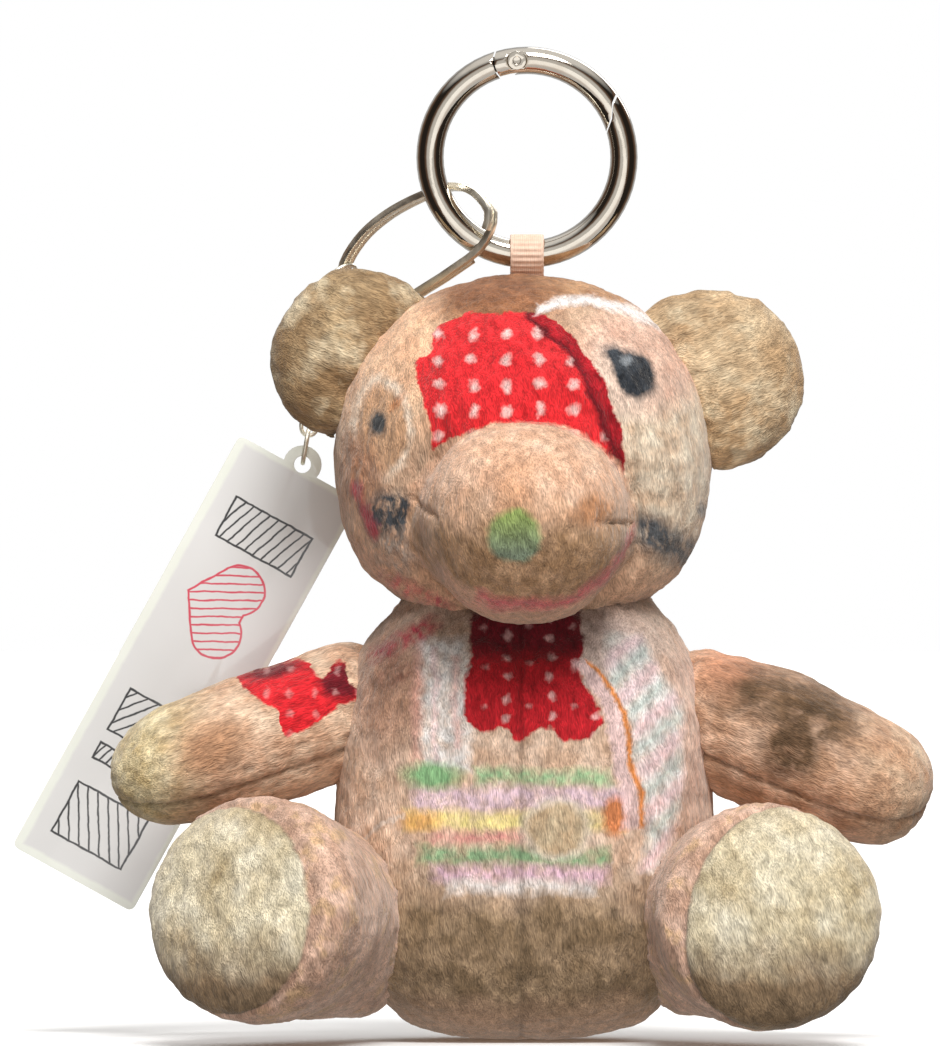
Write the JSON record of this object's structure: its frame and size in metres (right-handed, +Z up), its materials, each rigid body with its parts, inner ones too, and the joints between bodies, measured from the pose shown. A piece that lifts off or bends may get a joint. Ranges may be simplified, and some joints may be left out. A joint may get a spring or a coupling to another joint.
{
  "type": "plush keychain",
  "caption": "Seated plush bear sewn from printed short-pile fabric, hanging by a ribbon loop from a spring-gate ring with a split ring, chain and acrylic tag.",
  "frame": {"origin": "top of the spring-gate ring's opening, on its inner edge, where the strap or finger that holds the keychain bears", "axes": "+Z up, the way it hangs; the bear's face looks along -Y; +X is the viewer's right"},
  "size_m": [0.1384, 0.0655, 0.1483],
  "materials": {
    "chrome": "polished chrome plate",
    "steel": "warm nickel plate, lightly brushed",
    "ribbon": "ribbed grosgrain ribbon with plain edges",
    "body_pile": "short pile with a printed patchwork pattern",
    "ear_pile": "short pile, mottled olive and tan",
    "sole_pile": "short pile, mottled cream and olive",
    "filling": "loose polyester fibre",
    "acrylic": "polished clear acrylic over a milky grey print"
  },
  "bodies": {
    "ring": {"ring_body": "chrome", "gate_pin": "chrome", "gate_spring": "steel"},
    "gate": {"ring_gate": "chrome"},
    "bear": {"ribbon_loop": "ribbon", "face_left": "body_pile", "face_right": "body_pile", "head_back": "body_pile", "muzzle_left": "body_pile", "muzzle_right": "body_pile", "head_stuffing": "filling", "ear_left_front": "ear_pile", "ear_left_back": "ear_pile", "ear_right_front": "ear_pile", "ear_right_back": "ear_pile", "ear_left_stuffing": "filling", "ear_right_stuffing": "filling", "torso_front_left": "body_pile", "torso_front_right": "body_pile", "torso_back": "body_pile", "torso_stuffing": "filling", "arm_left_upper": "body_pile", "arm_left_lower": "body_pile", "arm_left_stuffing": "filling", "arm_right_upper": "body_pile", "arm_right_lower": "body_pile", "arm_right_stuffing": "filling", "leg_left_cover": "body_pile", "leg_left_sole": "sole_pile", "leg_left_stuffing": "filling", "leg_right_cover": "body_pile", "leg_right_sole": "sole_pile", "leg_right_stuffing": "filling"},
    "key_ring": {"split_ring": "steel"},
    "upper_jump": {"upper_jump_ring": "steel"},
    "link_1": {"chain_link_1": "steel"},
    "link_2": {"chain_link_2": "steel"},
    "link_3": {"chain_link_3": "steel"},
    "link_4": {"chain_link_4": "steel"},
    "link_5": {"chain_link_5": "steel"},
    "lower_jump": {"lower_jump_ring": "steel"},
    "tag": {"tag_plate": "acrylic"}
  },
  "joints": [
    {"name": "gate_hinge", "type": "hinge", "parent": "ring", "child": "gate", "pos_m": [-0.00152, 0, 0.00197], "axis": [0, 1, 0], "range_deg": [0, 28], "stiffness_Nm_per_rad": 0.004, "springref_deg": -11.46},
    {"name": "bear_swing", "type": "hinge", "parent": "ring", "child": "bear", "pos_m": [0, 0, -0.02705], "axis": [1, 0, 0], "range_deg": [-60, 0]},
    {"name": "key_ring_swing", "type": "hinge", "parent": "ring", "child": "key_ring", "pos_m": [-0.0108, 0, -0.02223], "axis": [0.6691, 0, -0.7431], "range_deg": [0, 14]},
    {"name": "upper_jump_swing", "type": "hinge", "parent": "key_ring", "child": "upper_jump", "pos_m": [-0.0279, 0.0156, -0.0296], "axis": [0.2209, -0.3414, -0.9136], "range_deg": [-4, 12]},
    {"name": "link_1_swing", "type": "hinge", "parent": "upper_jump", "child": "link_1", "pos_m": [-0.02927, 0.01706, -0.03221], "axis": [0.6712, 0.7413, 0], "range_deg": [-1, 20]},
    {"name": "link_2_swing", "type": "hinge", "parent": "link_1", "child": "link_2", "pos_m": [-0.03004, 0.01722, -0.03661], "axis": [0.7333, -0.663, -0.1507], "range_deg": [-15, 15]},
    {"name": "link_3_swing", "type": "hinge", "parent": "link_2", "child": "link_3", "pos_m": [-0.03082, 0.01738, -0.04101], "axis": [0.9577, 0.2394, -0.1596], "range_deg": [-3, 17]},
    {"name": "link_4_swing", "type": "hinge", "parent": "link_3", "child": "link_4", "pos_m": [-0.03159, 0.01753, -0.04542], "axis": [0.3608, 0.9321, -0.0301], "range_deg": [-3, 17]},
    {"name": "link_5_swing", "type": "hinge", "parent": "link_4", "child": "link_5", "pos_m": [-0.03237, 0.01769, -0.04982], "axis": [-0.5523, 0.8234, 0.1305], "range_deg": [-15, 15]},
    {"name": "lower_jump_swing", "type": "hinge", "parent": "link_5", "child": "lower_jump", "pos_m": [-0.03315, 0.01785, -0.05422], "axis": [0.9853, 0, -0.1709], "range_deg": [-5, 25]},
    {"name": "tag_swing", "type": "hinge", "parent": "lower_jump", "child": "tag", "pos_m": [-0.03387, 0.01799, -0.05835], "axis": [0, 1, 0], "range_deg": [-22, 20]}
  ]
}
